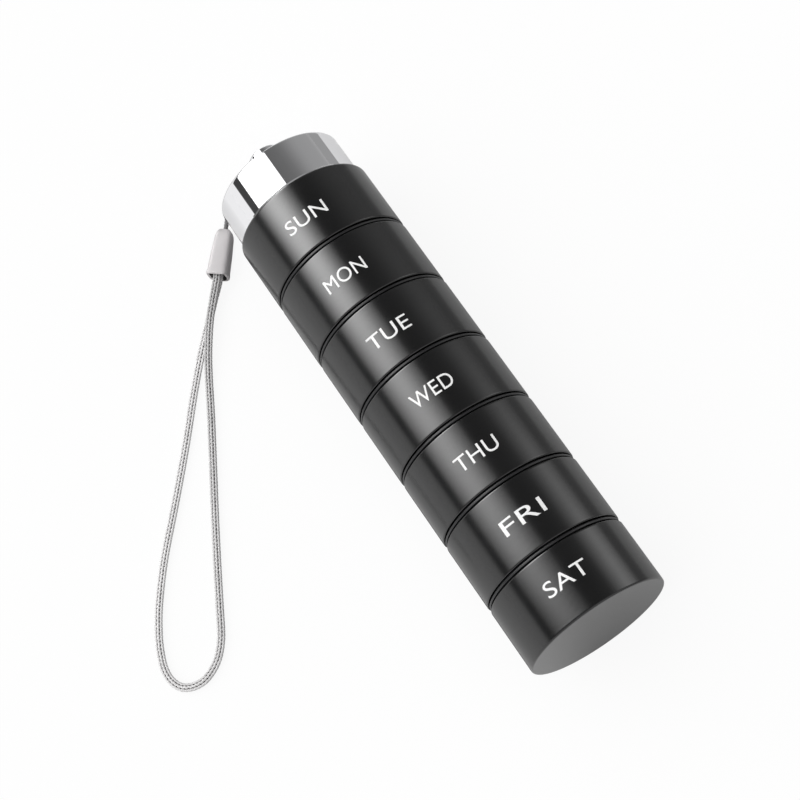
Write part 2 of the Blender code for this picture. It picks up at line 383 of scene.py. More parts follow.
BLACK = TurnedFinish(
    "satin_black_anodised", "anodised_black", (0.0028, 0.0028, 0.003), 0.215,
    ior=1.65, grain=700.0, grain_height=0.004, roughness_change=0.02, ring=2.0,
)
CUP_BLACK = Finish(
    "moulded_black_cup", "cup_black", (0.012, 0.012, 0.013), 0.38,
    grain=1500.0, grain_height=0.004,
)
RUBBER = Finish(
    "sealing_rubber", "seal_rubber", (0.03, 0.03, 0.031), 0.6,
    grain=3000.0, grain_height=0.01,
)
CHROME = TurnedFinish(
    "bright_chrome_plate", "chrome_plate", (0.9, 0.9, 0.915), 0.035,
    metallic=1.0, grain=500.0, roughness_change=0.01, colour_change=0.01, ring=3.0,
)
STEEL = TurnedFinish(
    "turned_screw_steel", "screw_steel", (0.55, 0.55, 0.56), 0.28,
    metallic=1.0, grain=2500.0, grain_height=0.004, ring=4.0,
)
# the yarn's own pale colour; YarnFinish darkens it towards the clasp as painted shade
YARN = YarnFinish(
    "pale_strap_yarn", "strap_cloth", (0.84, 0.83, 0.83), 0.7,
    grain=5000.0, grain_height=0.003, colour_change=0.05,
)
# near-black painted shade for the gaps between the strap's strands and for the inside of the clasp's mouth
PAINTED_SHADE_CORE = Finish(
    "strap_core", "strap_cloth", (0.06, 0.057, 0.058), 0.8,
    grain=3000.0, grain_height=0.004,
)
STRING_GREY = Finish(
    "grey_string_yarn", "strap_cloth", (0.26, 0.255, 0.26), 0.6,
    grain=5000.0, grain_height=0.003, colour_change=0.05,
)
CLASP_GREY = Finish(
    "moulded_grey_clasp", "ferrule_grey", (0.60, 0.58, 0.585), 0.42,
    grain=2200.0, grain_height=0.006, colour_change=0.03,
)
PRINT = Finish(
    "white_day_print", "anodised_black", (0.94, 0.94, 0.935), 0.5,
    grain=6000.0, grain_height=0.004, colour_change=0.02,
)


@dataclass(frozen=True)
class Thread:
    """A screw thread on a straight run of a section.

    joint is the height that its turns are counted from, and start and end are its limits above
    the joint. reach is how far it goes outwards from the run, as a ridge on a neck or a groove in
    a socket, and half is half its width there.
    """

    joint: float
    start: float
    end: float
    reach: float
    half: float


def inner_thread(joint: float) -> Thread:
    """The thread of a socket, whose turns are counted from a joint's height."""
    return Thread(joint, start=1.3, end=5.1, reach=0.75, half=0.9)


def outer_thread() -> Thread:
    """The thread of a neck."""
    return Thread(0.0, start=1.6, end=4.6, reach=0.55, half=0.6)


@dataclass(frozen=True)
class Corner:
    """A corner of a turned section: its radius, height and rounding, and the thread after it."""

    r: float
    z: float
    fillet: float = 0.0
    thread: Thread | None = None


@dataclass
class Section:
    """The outline of a turned piece."""

    corners: Sequence[Corner]
    closed: bool = False
    steps: int = 5
    spare_share: float = 0.3
    thread_step: float = 0.12
    fade: float = 0.5

    def arc(self, before: Vector, corner: Corner, after: Vector) -> list[Vector]:
        """Round one corner.

        Args:
            before: the corner before it.
            corner: the corner to round.
            after: the corner after it.

        Returns:
            The points of its arc, with one more on each side that keeps flat faces flat.
        """
        here = Vector((corner.r, corner.z))
        if not corner.fillet:
            return [here]
        back, on = (before - here).normalized(), (after - here).normalized()
        half = back.angle(on) / 2
        reach = corner.fillet / math.tan(half)
        centre = here + (back + on).normalized() * corner.fillet / math.sin(half)
        first, last = here + back * reach - centre, here + on * reach - centre
        points = [
            centre + first.slerp(last, i / self.steps).normalized() * corner.fillet
            for i in range(self.steps + 1)
        ]
        spare = corner.fillet * self.spare_share
        if (before - here).length > reach + 3 * spare:
            points.insert(0, here + back * (reach + spare))
        if (after - here).length > reach + 3 * spare:
            points.append(here + on * (reach + spare))
        return points

    def points(self) -> list[tuple[Vector, Vector]]:
        """Walk round the section.

        Returns:
            Pairs of (radius, height) and the thread's (reach, rise, half width) there.
        """
        spots = [Vector((c.r, c.z)) for c in self.corners]
        count = len(spots)
        plain = Vector((0.0, 0.0, 1.0))
        walked: list[tuple[Vector, Vector]] = []
        arcs = [
            self.arc(spots[i - 1], corner, spots[(i + 1) % count])
            for i, corner in enumerate(self.corners)
        ]
        for i, corner in enumerate(self.corners):
            walked.extend((point, plain) for point in arcs[i])
            if corner.thread:
                walked.extend(self.run(arcs[i][-1], arcs[(i + 1) % count][0], corner.thread))
        if self.closed:
            walked.append(walked[0])
        return walked

    def run(self, start: Vector, end: Vector, thread: Thread) -> list[tuple[Vector, Vector]]:
        """Divide a threaded run.

        Args:
            start: the run's first point.
            end: its last point.
            thread: the thread that it carries.

        Returns:
            The points between them, as in points.
        """
        steps = max(2, round((end - start).length / self.thread_step))
        found = []
        for i in range(1, steps):
            spot = start.lerp(end, i / steps)
            rise = spot.y - thread.joint
            depth = min(rise - thread.start, thread.end - rise) / self.fade
            found.append((spot, Vector((thread.reach * min(1.0, max(0.0, depth)), rise, thread.half))))
        return found


class Lathe:
    """Turns sections into closed shapes with one Geometry Nodes tree."""

    def __init__(self) -> None:
        """Build the tree and remember its inputs."""
        self.tree = bpy.data.node_groups.new("turned_shape", "GeometryNodeTree")
        sockets = self.tree.interface
        sockets.new_socket("Section", in_out="INPUT", socket_type="NodeSocketGeometry")
        self.sides = sockets.new_socket("Sides", in_out="INPUT", socket_type="NodeSocketInt").identifier
        self.pitch = sockets.new_socket(
            "Thread Pitch", in_out="INPUT", socket_type="NodeSocketFloat"
        ).identifier
        self.finish = sockets.new_socket(
            "Finish", in_out="INPUT", socket_type="NodeSocketMaterial"
        ).identifier
        sockets.new_socket("Shape", in_out="OUTPUT", socket_type="NodeSocketGeometry")
        self.draw(Sketch(self.tree))

    def draw(self, sketch: Sketch) -> None:
        """Lay out the tree: a grid whose rows take their radius and height from the section.

        Args:
            sketch: the tree.
        """
        given = sketch.add("NodeGroupInput").outputs
        section, sides, pitch, finish = given[0], given[1], given[2], given[3]
        rows = sketch.out("GeometryNodeAttributeDomainSize", "Point Count", {0: section})
        columns = sketch.math("ADD", sides, 1.0)
        grid = sketch.out(
            "GeometryNodeMeshGrid", "Mesh", {"Vertices X": rows, "Vertices Y": columns}
        )
        index = sketch.out("GeometryNodeInputIndex")
        row = sketch.math("FLOOR", sketch.math("DIVIDE", sketch.math("ADD", index, 0.5), columns))
        column = sketch.math("SUBTRACT", index, sketch.math("MULTIPLY", row, columns))
        turn = sketch.math("DIVIDE", column, sides)
        named = sketch.out(
            "GeometryNodeInputNamedAttribute", 0, {"Name": "thread"}, data_type="FLOAT_VECTOR"
        )
        split = []
        for value in (sketch.out("GeometryNodeInputPosition"), named):
            picked = sketch.out(
                "GeometryNodeSampleIndex",
                "Value",
                {"Geometry": section, "Value": value, "Index": row},
                data_type="FLOAT_VECTOR",
            )
            split.append(sketch.add("ShaderNodeSeparateXYZ", {0: picked}).outputs)
        place, thread = split
        phase = sketch.math("SUBTRACT", sketch.math("DIVIDE", thread[1], pitch), turn)
        wrapped = sketch.math("SUBTRACT", sketch.math("FRACT", sketch.math("ADD", phase, 0.5)), 0.5)
        away = sketch.math("MULTIPLY", sketch.math("ABSOLUTE", wrapped), pitch)
        ridge = sketch.ease(away, 0.0, thread[2], thread[0], 0.0)
        radius = sketch.math("ADD", place[0], ridge)
        angle = sketch.math("MULTIPLY", turn, 2 * math.pi)
        spot = sketch.out(
            "ShaderNodeCombineXYZ",
            inputs={
                0: sketch.math("MULTIPLY", radius, sketch.math("COSINE", angle)),
                1: sketch.math("MULTIPLY", radius, sketch.math("SINE", angle)),
                2: place[2],
            },
        )
        turned = sketch.out("GeometryNodeSetPosition", inputs={"Geometry": grid, "Position": spot})
        closed = sketch.out("GeometryNodeMergeByDistance", inputs={"Geometry": turned, "Distance": MERGE})
        real = sketch.out("GeometryNodeRealizeInstances", inputs={"Geometry": closed})
        done = sketch.out("GeometryNodeSetMaterial", inputs={"Geometry": real, "Material": finish})
        sketch.add("NodeGroupOutput", {0: done})

    def turn(self, name: str, section: Section, finish: Finish, sides: int = 144) -> bpy.types.Mesh:
        """Turn one section.

        Args:
            name: the mesh's name.
            section: its outline.
            finish: its material.
            sides: how many sides the turned shape has.

        Returns:
            The closed mesh, upright on its axis, in metres.
        """
        points = section.points()
        mesh = bpy.data.meshes.new(name)
        mesh.from_pydata(
            [(p.x * MM, 0.0, p.y * MM) for p, _ in points],
            [(i, i + 1) for i in range(len(points) - 1)],
            [],
        )
        thread = mesh.attributes.new("thread", "FLOAT_VECTOR", "POINT")
        for item, (_, along) in zip(thread.data, points):
            item.vector = along * MM
        obj = bpy.data.objects.new(name, mesh)
        bpy.context.scene.collection.objects.link(obj)
        modifier = obj.modifiers.new("turned", "NODES")
        modifier.node_group = self.tree
        modifier[self.sides] = sides
        modifier[self.pitch] = THREAD_PITCH * MM
        modifier[self.finish] = finish.material()
        return Maker.baked(obj)


class Maker:
    """Steps that every finished piece goes through."""

    @staticmethod
    def baked(obj: bpy.types.Object) -> bpy.types.Mesh:
        """Turn an object with modifiers into a plain mesh.

        Args:
            obj: the object, which is removed.

        Returns:
            The evaluated mesh.
        """
        graph = bpy.context.evaluated_depsgraph_get()
        mesh = bpy.data.meshes.new_from_object(obj.evaluated_get(graph))
        mesh.name = obj.name
        bpy.data.objects.remove(obj, do_unlink=True)
        return mesh

    @staticmethod
    def outward(mesh: bpy.types.Mesh, sharp: float = 38.0) -> bpy.types.Mesh:
        """Point the faces outwards and shade them smooth, with true edges kept sharp.

        Args:
            mesh: the mesh to change.
            sharp: the least angle of a sharp edge, in degrees.

        Returns:
            The same mesh.
        """
        shape = bmesh.new()
        shape.from_mesh(mesh)
        bmesh.ops.recalc_face_normals(shape, faces=shape.faces)
        shape.to_mesh(mesh)
        shape.free()
        mesh.shade_smooth()
        mesh.set_sharp_from_angle(angle=math.radians(sharp))
        return mesh

    @staticmethod
    def cut(mesh: bpy.types.Mesh, tool: bpy.types.Mesh) -> bpy.types.Mesh:
        """Cut one closed mesh out of another.

        Args:
            mesh: the mesh to cut.
            tool: the shape to take away, in the same axes.

        Returns:
            The cut mesh.
        """
        obj = bpy.data.objects.new(mesh.name, mesh)
        cutter = bpy.data.objects.new("cutter", tool)
        for item in (obj, cutter):
            bpy.context.scene.collection.objects.link(item)
        modifier = obj.modifiers.new("cut", "BOOLEAN")
        modifier.object = cutter
        modifier.operation = "DIFFERENCE"
        modifier.solver = "EXACT"
        result = Maker.baked(obj)
        bpy.data.objects.remove(cutter, do_unlink=True)
        return result

    @staticmethod
    def laid(
        name: str, mesh: bpy.types.Mesh, finish: Finish, body: str, replaces: Sequence[str], height: float
    ) -> bpy.types.Object:
        """Lay a turned mesh onto the tube's axis and make it a piece of the model.

        Args:
            name: the piece's name.
            mesh: its mesh, upright.
            finish: the finish that it takes if its mesh has none.
            body: the body that it rides on.
            replaces: the CAD nodes that it stands for.
            height: how far up the axis it goes.

        Returns:
            The piece.
        """
        mesh.transform(LAID @ Matrix.Translation((0, 0, height * MM)))
        Maker.outward(mesh)
        return Maker.placed(name, mesh, finish, body, replaces)

    @staticmethod
    def placed(
        name: str, data: Any, finish: Finish, body: str, replaces: Sequence[str] = ()
    ) -> bpy.types.Object:
        """Make a piece of a mesh that is already in place.

        Args:
            name: the piece's name.
            data: its mesh, in world axes.
            finish: its finish.
            body: the body that it rides on.
            replaces: the CAD nodes that it stands for.

        Returns:
            The piece.
        """
        obj = bpy.data.objects.new(name, data)
        bpy.context.scene.collection.objects.link(obj)
        if not data.materials:
            data.materials.append(finish.material())
        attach(obj, body)
        if replaces:
            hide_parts(*replaces)
        log.info("%s: %d faces", name, len(getattr(data, "polygons", [])))
        return obj


@dataclass
class Compartment:
    """One day's section of the tube: its sleeve, its threaded cup, its seal and its word."""

    day: Day
    lathe: Lathe
    edge: float = 0.28
    shoulder: float = 0.62
    base_edge: float = 0.4
    base_floor: float = 1.0
    collar_edge: float = 0.12
    floor_top: float = 8.6
    floor: float = 1.0
    cavity_r: float = 11.1
    neck_h: float = 5.0
    seat_r: float = 11.9
    seat_h: float = 1.3
    seal_r: float = 12.6
    seal_wire: float = 0.42
    seal_points: int = 14
    inner_edge: float = 0.15
    base_fillet: float = 0.4
    cavity_fillet: float = 1.6
    ceiling_fillet: float = 0.4
    lip: float = 0.3
    foot_edge: float = 0.2
    sleeve_sides: int = 180
    cup_sides: int = 120

    def sleeve(self) -> bpy.types.Object:
        """Make the outer sleeve, whose ends depend on where it sits in the tube.

        Returns:
            The sleeve.
        """
        top = 0.0 if self.day is Day.SUN else -COLLAR_H - GAP
        rounding = self.shoulder if self.day is Day.SUN else self.edge
        if self.day is Day.SAT:
            end = -PITCH + BASE_SHORT
            section = Section([
                Corner(0, end + self.base_floor),
                Corner(SLEEVE_R, end + self.base_floor, self.base_fillet),
                Corner(SLEEVE_R, top, self.inner_edge),
                Corner(BARREL_R, top, rounding),
                Corner(BARREL_R, end, self.base_edge),
                Corner(0, end),
            ])
        else:
            section = Section([
                Corner(SLEEVE_R, top, self.inner_edge),
                Corner(BARREL_R, top, rounding),
                Corner(BARREL_R, -SKIRT_END, self.edge),
                Corner(SLEEVE_R, -SKIRT_END, self.inner_edge),
            ], closed=True)
        name = f"{self.day.key}_outer_sleeve"
        mesh = self.lathe.turn(name, section, BLACK, self.sleeve_sides)
        return Maker.laid(name, mesh, BLACK, self.day.body, [f"{self.day.key}_sleeve"], self.day.height)

    def cup(self) -> bpy.types.Object:
        """Make the inner cup, with a thread outside its neck and one inside its socket.

        Returns:
            The cup.
        """
        corners = [
            Corner(0, -self.floor_top),
            Corner(self.cavity_r, -self.floor_top, self.cavity_fillet),
            Corner(self.cavity_r, self.neck_h, self.lip),
            Corner(NECK_R, self.neck_h, self.lip, thread=outer_thread()),
            Corner(NECK_R, self.seat_h),
            Corner(self.seat_r, self.seat_h),
            Corner(self.seat_r, 0),
        ]
        if self.day is Day.SUN:
            corners.append(Corner(SKIRT_R, 0, self.inner_edge))
        else:
            corners += [
                Corner(COLLAR_R, 0, self.collar_edge),
                Corner(COLLAR_R, -COLLAR_H, self.collar_edge),
                Corner(SKIRT_R, -COLLAR_H),
            ]
        ceiling = -self.floor_top - self.floor
        if self.day is Day.SAT:
            foot = -PITCH + BASE_SHORT + self.base_floor + GAP
            corners += [Corner(r, foot, self.foot_edge) for r in (SKIRT_R, BORE_R)]
        else:
            corners += [
                Corner(SKIRT_R, -SKIRT_END, self.inner_edge),
                Corner(MOUTH_R, -SKIRT_END, self.inner_edge),
                Corner(MOUTH_R, -PITCH + MOUTH_H),
                Corner(BORE_R, -PITCH + MOUTH_H, thread=inner_thread(-PITCH)),
            ]
        corners += [Corner(BORE_R, ceiling, self.ceiling_fillet), Corner(0, ceiling)]
        name = f"{self.day.key}_inner_cup"
        mesh = self.lathe.turn(name, Section(corners), CUP_BLACK, self.cup_sides)
        return Maker.laid(name, mesh, CUP_BLACK, self.day.body, [f"{self.day.key}_cup"], self.day.height)

    def seal(self) -> bpy.types.Object:
        """Make the round sealing ring at the foot of the neck.

        Returns:
            The ring.
        """
        wire, centre, count = self.seal_wire, GAP + self.seal_wire, self.seal_points
        ring = [
            Corner(
                self.seal_r + wire * math.cos(2 * math.pi * i / count),
                centre + wire * math.sin(2 * math.pi * i / count),
            )
            for i in range(count)
        ]
        name = f"{self.day.key}_seal_ring"
        mesh = self.lathe.turn(name, Section(ring, closed=True), RUBBER, self.cup_sides)
        carrier = f"{self.day.key}_ring"
        return Maker.laid(name, mesh, RUBBER, carrier, [f"{self.day.key}_seal"], self.day.height)

    def build(self) -> None:
        """Make all three turned pieces of this day."""
        self.sleeve()
        self.cup()
        self.seal()


@dataclass
class Lettering:
    """The short name of a day, printed round the sleeve in a plain font."""

    day: Day
    cap_height: float = 3.08
    width: float = 9.25
    centre_s: float = 7.6
    angle: float = 0.0
    print_height: float = 0.02
    print_root: float = -0.01
    spacing: float = 1.04
    curve_steps: int = 6
    step: float = 0.3
    merge: float = 0.001
    plane_reach: float = 1e-5

    def flat(self) -> bpy.types.Mesh:
        """Set the word flat on the XY plane, in millimetres, centred on its capitals.

        Returns:
            The mesh, cut fine enough to bend.
        """
        text = bpy.data.curves.new(f"{self.day.key}_word", "FONT")
        text.body = self.day.name
        text.align_x = "CENTER"
        text.space_character = self.spacing
        text.resolution_u = self.curve_steps
        obj = bpy.data.objects.new(text.name, text)
        bpy.context.scene.collection.objects.link(obj)
        bpy.context.view_layer.update()
        mesh = Maker.baked(obj)
        ys = [v.co.y for v in mesh.vertices]
        xs = [v.co.x for v in mesh.vertices]
        across = self.width / (max(xs) - min(xs))
        upward = self.cap_height / (max(ys) - min(ys))
        middle = Matrix.Translation((-(max(xs) + min(xs)) / 2, -(max(ys) + min(ys)) / 2, 0))
        mesh.transform(Matrix.Diagonal((across, upward, 1, 1)) @ middle)
        return mesh

    def build(self) -> bpy.types.Object:
        """Bend the word round the sleeve and give it the thickness of its ink.

        Returns:
            The printed word.
        """
        mesh = self.flat()
        shape = bmesh.new()
        shape.from_mesh(mesh)
        bmesh.ops.remove_doubles(shape, verts=shape.verts, dist=self.merge)
        left = min(v.co.x for v in shape.verts)
        right = max(v.co.x for v in shape.verts)
        for i in range(1, int((right - left) / self.step)):
            bmesh.ops.bisect_plane(
                shape,
                geom=shape.verts[:] + shape.edges[:] + shape.faces[:],
                plane_co=(left + i * self.step, 0, 0),
                plane_no=(1, 0, 0),
                dist=self.plane_reach,
            )
        for face in shape.faces:
            if face.normal.z < 0:
                face.normal_flip()
        lower = shape.verts[:]
        raised = bmesh.ops.extrude_face_region(shape, geom=shape.faces[:])
        upper = {v for v in raised["geom"] if isinstance(v, bmesh.types.BMVert)}
        centre_x = TOP_X + self.day.value * PITCH + self.centre_s
        for vertex in lower:
            self.bend(vertex, centre_x, self.print_root)
        for vertex in upper:
            self.bend(vertex, centre_x, self.print_height)
        shape.to_mesh(mesh)
        shape.free()
        Maker.outward(mesh)
        return Maker.placed(f"{self.day.key}_print", mesh, PRINT, self.day.body)

    def bend(self, vertex: Any, centre_x: float, height: float) -> None:
        """Move one point of the flat word onto the sleeve.

        Args:
            vertex: the point, in millimetres.
            centre_x: where the word's middle lies along the tube.
            height: how far above the sleeve the point goes.
        """
        turn = math.radians(self.angle) + vertex.co.x / BARREL_R
        radius = BARREL_R + height
        along = centre_x - vertex.co.y
        vertex.co = (
            along * MM,
            radius * math.sin(turn) * MM,
            (AXIS_Z + radius * math.cos(turn)) * MM,
        )


@dataclass
class CapAssembly:
    """The chrome screw cap, its knob and the screw that holds the knob."""

    lathe: Lathe
    cap_r: float = 14.0
    cap_h: float = 9.8
    edge: float = 0.6
    lower_gap: float = 0.12
    chamfer_h: float = 0.45
    chamfer_depth: float = 0.17
    chamfer_edge: float = 0.04
    mouth_edge: float = 0.15
    ceiling: float = 8.0
    ceiling_fillet: float = 0.5
    cap_sides: int = 240
    knob_r: float = 3.5
    knob_h: float = 6.7
    knob_edge: float = 0.45
    knob_foot_edge: float = 0.15
    knob_seat: float = 0.04
    wall_margin: float = 0.6
    wall_rows: int = 16
    knob_sides: int = 96
    tap_r: float = 1.5
    tap_top: float = 12.7
    hole_z: float = 13.9
    hole_r: float = 1.0
    hole_sides: int = 48

    def cap(self) -> bpy.types.Object:
        """Make the cap, hollow and threaded inside.

        Returns:
            The cap.
        """
        section = Section([
            Corner(self.tap_r, self.cap_h),
            Corner(self.cap_r, self.cap_h, self.edge),
            Corner(self.cap_r, self.lower_gap + self.chamfer_h, self.chamfer_edge),
            Corner(self.cap_r - self.chamfer_depth, self.lower_gap, self.chamfer_edge),
            Corner(MOUTH_R, self.lower_gap, self.mouth_edge),
            Corner(MOUTH_R, MOUTH_H),
            Corner(BORE_R, MOUTH_H, thread=inner_thread(0.0)),
            Corner(BORE_R, self.ceiling, self.ceiling_fillet),
            Corner(self.tap_r, self.ceiling),
        ], closed=True)
        mesh = self.lathe.turn("chrome_screw_cap", section, CHROME, self.cap_sides)
        return Maker.laid("chrome_screw_cap", mesh, CHROME, "root", ["cap"], 0.0)

    def knob(self) -> bpy.types.Object:
        """Make the knob, with the hole across it that the string runs through.

        Returns:
            The knob.
        """
        top = self.cap_h + self.knob_h
        foot = self.cap_h + self.knob_seat
        row = (self.knob_h - 2 * self.wall_margin) / self.wall_rows
        start = top - self.wall_margin
        wall = [Corner(self.knob_r, start - row * i) for i in range(self.wall_rows + 1)]
        section = Section([
            Corner(0, top),
            Corner(self.knob_r, top, self.knob_edge),
            *wall,
            Corner(self.knob_r, foot, self.knob_foot_edge),
            Corner(self.tap_r, foot),
            Corner(self.tap_r, self.tap_top),
            Corner(0, self.tap_top),
        ])
        mesh = self.lathe.turn("strap_knob", section, CHROME, self.knob_sides)
        Maker.outward(mesh)
        shape = bmesh.new()
        across = Matrix.Translation((0, 0, self.hole_z * MM)) @ Matrix.Rotation(math.pi / 2, 4, "X")
        bmesh.ops.create_cone(
            shape,
            cap_ends=True,
            segments=self.hole_sides,
            radius1=self.hole_r * MM,
            radius2=self.hole_r * MM,
            depth=4 * self.knob_r * MM,
            matrix=across,
        )
        drill = bpy.data.meshes.new("drill")
        shape.to_mesh(drill)
        shape.free()
        mesh = Maker.cut(mesh, drill)
        return Maker.laid("strap_knob", mesh, CHROME, "root", ["strap_post"], 0.0)

    def build(self) -> None:
        """Make the cap and the knob, and dress the screw that the CAD already shapes."""
        self.cap()
        self.knob()
        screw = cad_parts["post_screw"]
        screw.data.materials.clear()
        screw.data.materials.append(STEEL.material())


class Lay(Enum):
    """How the strands of a cord run: round each other, or in lengthwise chains of stitches."""

    TWISTED = 1
    CHAINED = 2


@dataclass(frozen=True)
class Cordage:
    """Sizes of a cord's strands, in millimetres.

    turn_length is one turn of a twisted cord or one stitch of a chained one. A stitch swings to
    both sides by an angle, and its strand is pinched by a share of its radius where it ends.
    """

    lay: Lay
    strands: int
    width: float
    thickness: float
    strand_r: float
    turn_length: float
    step: float
    swing: float = 0.0
    pinch: float = 0.0


class Ropewalk:
    """Lays strands along a route with one Geometry Nodes tree."""

    names = (
        "Strands", "Width", "Thickness", "Strand Radius", "Turn Length", "Step", "Swing", "Pinch",
        "Spin",
    )
    stagger = 2 * math.pi / 3
    along_scale = 0.2
    strand_sides = 6
    core_share = 0.9
    core_step = 3.0
    core_sides = 16

    def __init__(self) -> None:
        """Build the tree and remember its inputs."""
        self.tree = bpy.data.node_groups.new("laid_strands", "GeometryNodeTree")
        sockets = self.tree.interface
        sockets.new_socket("Route", in_out="INPUT", socket_type="NodeSocketGeometry")
        self.inputs = {}
        for name in self.names:
            kind = "NodeSocketInt" if name == "Strands" else "NodeSocketFloat"
            self.inputs[name] = sockets.new_socket(name, in_out="INPUT", socket_type=kind).identifier
        self.finish, self.core_finish = (
            sockets.new_socket(name, in_out="INPUT", socket_type="NodeSocketMaterial").identifier
            for name in ("Finish", "Core Finish")
        )
        sockets.new_socket("Cord", in_out="OUTPUT", socket_type="NodeSocketGeometry")
        self.draw(Sketch(self.tree))

    def draw(self, sketch: Sketch) -> None:
        """Lay out the tree: strands side by side round an oval core, whose near-black finish is painted
        shade between the strands.

        Args:
            sketch: the tree.
        """
        given = sketch.add("NodeGroupInput").outputs
        route, strands, width, thickness, radius, turn, step, swing, pinch, spin = given[:10]
        finish, core_finish = given[10], given[11]
        fine = sketch.out(
            "GeometryNodeResampleCurve", inputs={"Curve": route, "Length": step}, mode="LENGTH"
        )
        copies = sketch.add(
            "GeometryNodeDuplicateElements", {"Geometry": fine, "Amount": strands}, domain="SPLINE"
        )
        measured = sketch.add("GeometryNodeSplineParameter")
        along = sketch.socket(measured.outputs, "Length")
        number = copies.outputs["Duplicate Index"]
        share = sketch.math("DIVIDE", sketch.math("ADD", number, 0.5), strands)
        turns = sketch.math("DIVIDE", along, turn)
        phase = sketch.math("MULTIPLY", turns, 2 * math.pi)
        stagger = sketch.math("ADD", phase, sketch.math("MULTIPLY", number, self.stagger))
        bead = sketch.math("ADD", sketch.math("MULTIPLY", sketch.math("COSINE", stagger), 0.5), 0.5)
        narrow = sketch.math("MULTIPLY", sketch.math("POWER", bead, 2.0), pinch)
        shaped = sketch.out(
            "GeometryNodeSetCurveRadius",
            inputs={"Curve": copies.outputs[0], "Radius": sketch.math("SUBTRACT", 1.0, narrow)},
        )
        stitch = sketch.math("MULTIPLY", sketch.math("SINE", stagger), swing)
        turned = sketch.math("ADD", stitch, sketch.math("MULTIPLY", phase, spin))
        angle = sketch.math("ADD", turned, sketch.math("MULTIPLY", share, 2 * math.pi))
        normal = sketch.out("GeometryNodeInputNormal")
        tangent = sketch.out("GeometryNodeInputTangent")
        upward = sketch.vector("CROSS_PRODUCT", tangent, normal)
        side = sketch.math("MULTIPLY", width, sketch.math("COSINE", angle))
        height = sketch.math("MULTIPLY", thickness, sketch.math("SINE", angle))
        offset = sketch.vector(
            "ADD", self.scaled(sketch, normal, side), self.scaled(sketch, upward, height)
        )
        laid = sketch.out("GeometryNodeSetPosition", inputs={"Geometry": shaped, "Offset": offset})
        # share, the place along the cord, is what the yarn's painted shade reads
        kept = (
            ("along", sketch.math("MULTIPLY", along, self.along_scale)),
            ("strand", share),
            ("share", sketch.socket(measured.outputs, "Factor")),
        )
        for name, value in kept:
            laid = sketch.out(
                "GeometryNodeStoreNamedAttribute",
                inputs={"Geometry": laid, "Name": name, "Value": value},
                data_type="FLOAT",
                domain="POINT",
            )
        yarn = self.tubes(sketch, laid, radius, (1.0, 1.0), self.strand_sides, finish)
        # the core is near-black: painted shade that shows in the gaps between the strands
        inside = tuple(sketch.math("MULTIPLY", half, self.core_share) for half in (width, thickness))
        coarse = sketch.out(
            "GeometryNodeResampleCurve",
            inputs={"Curve": route, "Length": sketch.math("MULTIPLY", step, self.core_step)},
            mode="LENGTH",
        )
        core = self.tubes(sketch, coarse, 1.0, inside, self.core_sides, core_finish)
        core = sketch.out(
            "GeometryNodeSwitch",
            inputs={"Switch": sketch.math("GREATER_THAN", pinch, 0.0), "True": core},
            input_type="GEOMETRY",
        )
        both = sketch.add("GeometryNodeJoinGeometry")
        for part in (yarn, core):
            sketch.tree.links.new(part, both.inputs[0])
        sketch.add("NodeGroupOutput", {0: both.outputs[0]})

    @staticmethod
    def tubes(
        sketch: Sketch, curves: Any, radius: Any, halves: tuple[Any, Any], sides: int, finish: Any
    ) -> Any:
        """Give curves a closed oval section and a material.

        Args:
            sketch: the tree.
            curves: the curves.
            radius: the section's radius before it is stretched.
            halves: how much it is stretched across and upwards.
            sides: how many sides it has.
            finish: the material socket.

        Returns:
            The finished mesh.
        """
        ring = sketch.out(
            "GeometryNodeCurvePrimitiveCircle", "Curve", {"Resolution": sides, "Radius": radius}
        )
        stretch = sketch.out("ShaderNodeCombineXYZ", inputs={0: halves[0], 1: halves[1], 2: 1.0})
        oval = sketch.out("GeometryNodeTransform", inputs={"Geometry": ring, "Scale": stretch})
        mesh = sketch.out(
            "GeometryNodeCurveToMesh",
            inputs={"Curve": curves, "Profile Curve": oval, "Fill Caps": True},
        )
        real = sketch.out("GeometryNodeRealizeInstances", inputs={"Geometry": mesh})
        return sketch.out("GeometryNodeSetMaterial", inputs={"Geometry": real, "Material": finish})

    @staticmethod
    def scaled(sketch: Sketch, vector: Any, amount: Any) -> Any:
        """Scale a vector by a number.

        Args:
            sketch: the tree.
            vector: the vector socket.
            amount: the number socket.

        Returns:
            The scaled vector.
        """
        node = sketch.add("ShaderNodeVectorMath", {0: vector}, operation="SCALE")
        sketch.tree.links.new(amount, node.inputs["Scale"])
        return node.outputs[0]

    def lay(
        self, name: str, route: Sequence[Vector], cordage: Cordage, finish: Finish, level: bool
    ) -> bpy.types.Mesh:
        """Lay one cord.

        Args:
            name: the mesh's name.
            route: its centreline, in millimetres.
            cordage: the sizes of its strands.
            finish: its material.
            level: whether its width stays level, as on a strap that lies flat.

        Returns:
            The cord's mesh in world axes.
        """
        curve = bpy.data.curves.new(name, "CURVE")
        curve.dimensions = "3D"
        curve.twist_mode = "Z_UP" if level else "MINIMUM"
        spline = curve.splines.new("POLY")
        spline.points.add(len(route) - 1)
        for target, point in zip(spline.points, route):
            target.co = (*(point * MM), 1.0)
        obj = bpy.data.objects.new(name, curve)
        bpy.context.scene.collection.objects.link(obj)
        modifier = obj.modifiers.new("laid", "NODES")
        modifier.node_group = self.tree
        sizes = (
            cordage.strands,
            (cordage.width / 2 - cordage.strand_r) * MM,
            (cordage.thickness / 2 - cordage.strand_r) * MM,
            cordage.strand_r * MM,
            cordage.turn_length * MM,
            cordage.step * MM,
            cordage.swing,
            cordage.pinch,
            1.0 if cordage.lay is Lay.TWISTED else 0.0,
        )
        for key, value in zip(self.names, sizes):
            modifier[self.inputs[key]] = value
        modifier[self.finish] = finish.material()
        # the core takes the near-black painted shade
        modifier[self.core_finish] = PAINTED_SHADE_CORE.material()
        return Maker.baked(obj)


